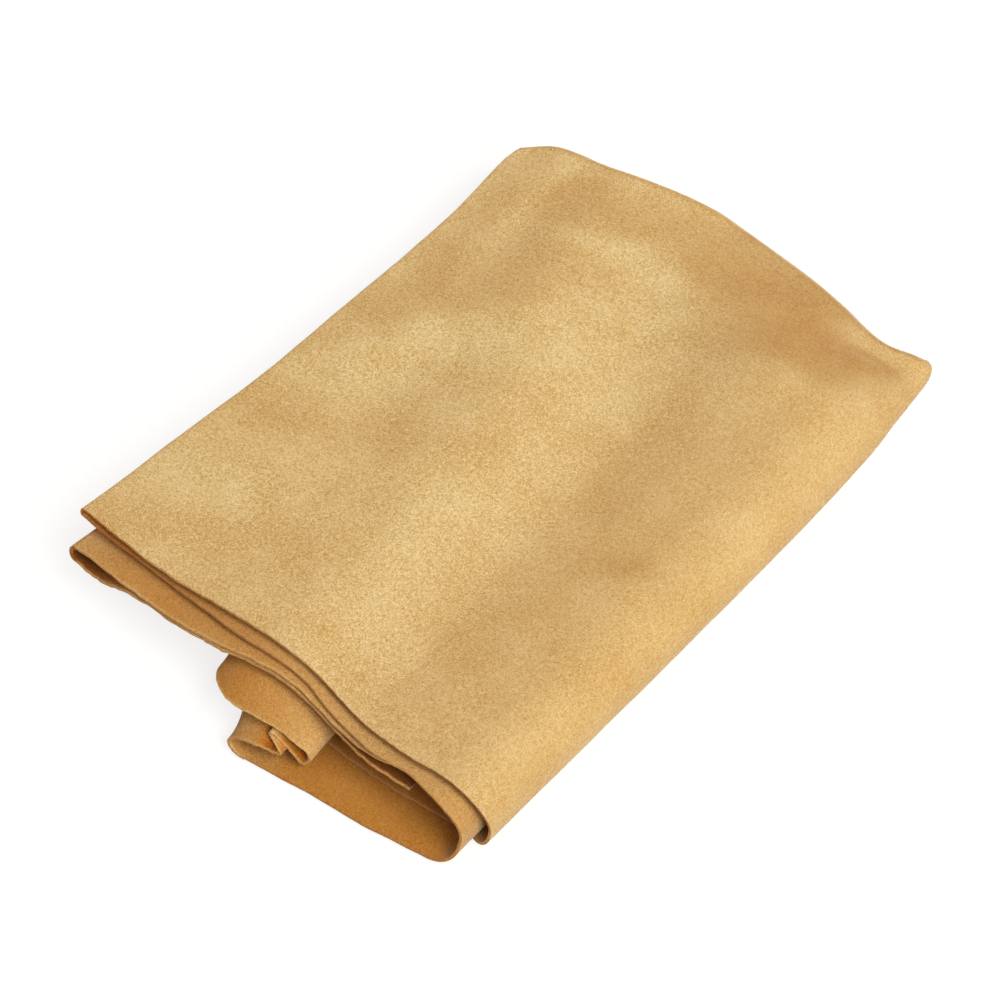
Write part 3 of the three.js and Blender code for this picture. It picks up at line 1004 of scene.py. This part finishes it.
def tail_section(y):
    """Points of the section at y: x, height over the bottom leaf, and where its front edge is."""
    fold = tail_fold_x(y)
    left = fold - ROLL_OVERHANG * (1.0 - ease(y, FLARE_START, FLARE_END))
    droop = 1.0 - ease(y, ROLL_EDGE, ROLL_EDGE + DROOP_LENGTH)
    return (
        (fold, 0.0, TAIL_EDGE),
        (fold - 5.6, 1.2, TAIL_EDGE),
        (fold - 7.8, 4.4, TAIL_EDGE + 0.5),
        (fold - 5.2, 8.0, TAIL_EDGE + 1.0),
        (fold + 1.0, 10.2, TAIL_EDGE + 1.5),
        (mix(fold, PLEAT_X, 0.5), 10.4, TAIL_EDGE + 2.5),
        (PLEAT_X - 1.5, 9.2, TAIL_EDGE + 4.0),
        (PLEAT_X + 1.4, 9.6, TAIL_EDGE + 4.5),
        (PLEAT_X + 0.8, 10.8, TAIL_EDGE + 5.0),
        (PLEAT_X - 2.4, 12.2, TAIL_EDGE + 6.0),
        (PLEAT_X - 5.0, 13.0, TAIL_EDGE + 7.0),
        (PLEAT_X - 4.0, 13.9, TAIL_EDGE + 7.5),
        (PLEAT_X + 1.4, 10.8, TAIL_EDGE + 8.0),
        (PLEAT_X + 5.8, 6.9, ROLL_EDGE - 1.0),
        (PLEAT_X + 8.8, 5.9, ROLL_EDGE - 1.0),
        (PLEAT_X + 11.2, 7.9, ROLL_EDGE),
        (PLEAT_X + 11.6, 11.2, ROLL_EDGE),
        (PLEAT_X + 9.2, 13.6, ROLL_EDGE),
        (PLEAT_X + 3.0, 15.5, ROLL_EDGE - 0.6),
        (PLEAT_X - 5.0, 16.6, ROLL_EDGE - 1.2),
        (mix(PLEAT_X - 5.0, left, 0.38), 17.4 - 0.4 * droop, ROLL_EDGE - 2.4),
        (left + 13.0, 17.6 - 1.4 * droop, ROLL_EDGE - 1.8),
        (left + 6.4, 17.4 - 2.8 * droop, ROLL_EDGE + 1.8),
        (left + 2.0, 16.8 - 3.8 * droop, ROLL_EDGE + 6.0),
        (left, 15.8 - 4.6 * droop, ROLL_EDGE + 11.2),
    )


print("section of", len(tail_section(TAIL_EDGE)), "points")

# %% Rolled tail
TAIL_STEPS = 170
TAIL_SEED = 8.0


def tail_place(column, row):
    """Where a point lies: its column is a share of the section, its row a share of the way to the back."""
    value = row[1]
    section = tail_section(mix(TAIL_EDGE, BACK_Y, value))
    at = column[1] * (len(section) - 1)
    lines = ([(i, point[axis]) for i, point in enumerate(section)] for axis in range(3))
    x, height, front = (smooth_line(line, at) for line in lines)
    front += fray(mix(PAD_LEFT, BEND_X, column[1]), TAIL_SEED) * (1.0 - value) ** FRAY_FADE
    y = mix(front, BACK_Y, value)
    return (x, y, BOTTOM_Z + height * tail_lift(y) * tail_room(x, y))


def tail_tone_and_shade(column, row):
    """How deep the tone and painted shade of the tail are at a point."""
    amount = smooth_line(TAIL_TONE_AND_SHADE, column[1] * TAIL_TONE_AND_SHADE[-1][0])
    return min(amount, RIM_INSIDE) if row == ("over", 0.0) else amount


def tail_is_leather(column, row):
    """Whether a point is in front of the tail's end inside the pad."""
    return mix(TAIL_EDGE, BACK_Y, row[1]) <= TAIL_BACK


tail_columns = places(("tail", TAIL_STEPS, 0.0, 1.0))
tail_rows = places(("over", 3, 0.0, EDGE_SHARE), ("over", 95, EDGE_SHARE, 1.0))
rolled_tail = bent_sheet("rolled_tail", tail_columns, tail_rows, tail_place, tail_is_leather, tail_tone_and_shade)
thicken(rolled_tail, nap_finish, rim_finish)
print("rolled tail", len(rolled_tail.data.polygons), "faces")

# %% [markdown]
# ## The sheets in place
#
# The last fold opens like a book. The outer and the inner sheet cross it; here their placing is baked into
# their meshes. The rolled tail lies below and goes with the lower leaves, and the imported parts are
# hidden.

# %% Bake, ride and replace
for sheet in (outer_sheet, inner_sheet):
    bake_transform(sheet)
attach(rolled_tail, "lower_leaves")
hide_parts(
    "top_leaf", "fourth_leaf", "top_left_fold", "inner_left_fold", "outer_back_fold",
    "ground_leaf", "ground_back_fold",
)
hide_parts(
    "second_leaf", "third_leaf", "inner_back_fold", "bottom_leaf", "inner_leaf",
    "bottom_back_fold",
)
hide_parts("bottom_left_fold", "return_leaf", "pleat", "roll_loop", "roll_leaf")


def flat_area(sheet):
    """The area of one face of a sheet."""
    return sum(face.area for face in sheet.data.polygons) / 2


for sheet in (outer_sheet, inner_sheet, rolled_tail):
    print(sheet.name, "covers", round(flat_area(sheet), 4), "square metres")

# %% [markdown]
# A hide is bought by its flat size; the area of each cut sheet is printed above. The sheets lie on one
# another, and the outer sheet on the table.

# %% The three sheets
print("three folded sheets")
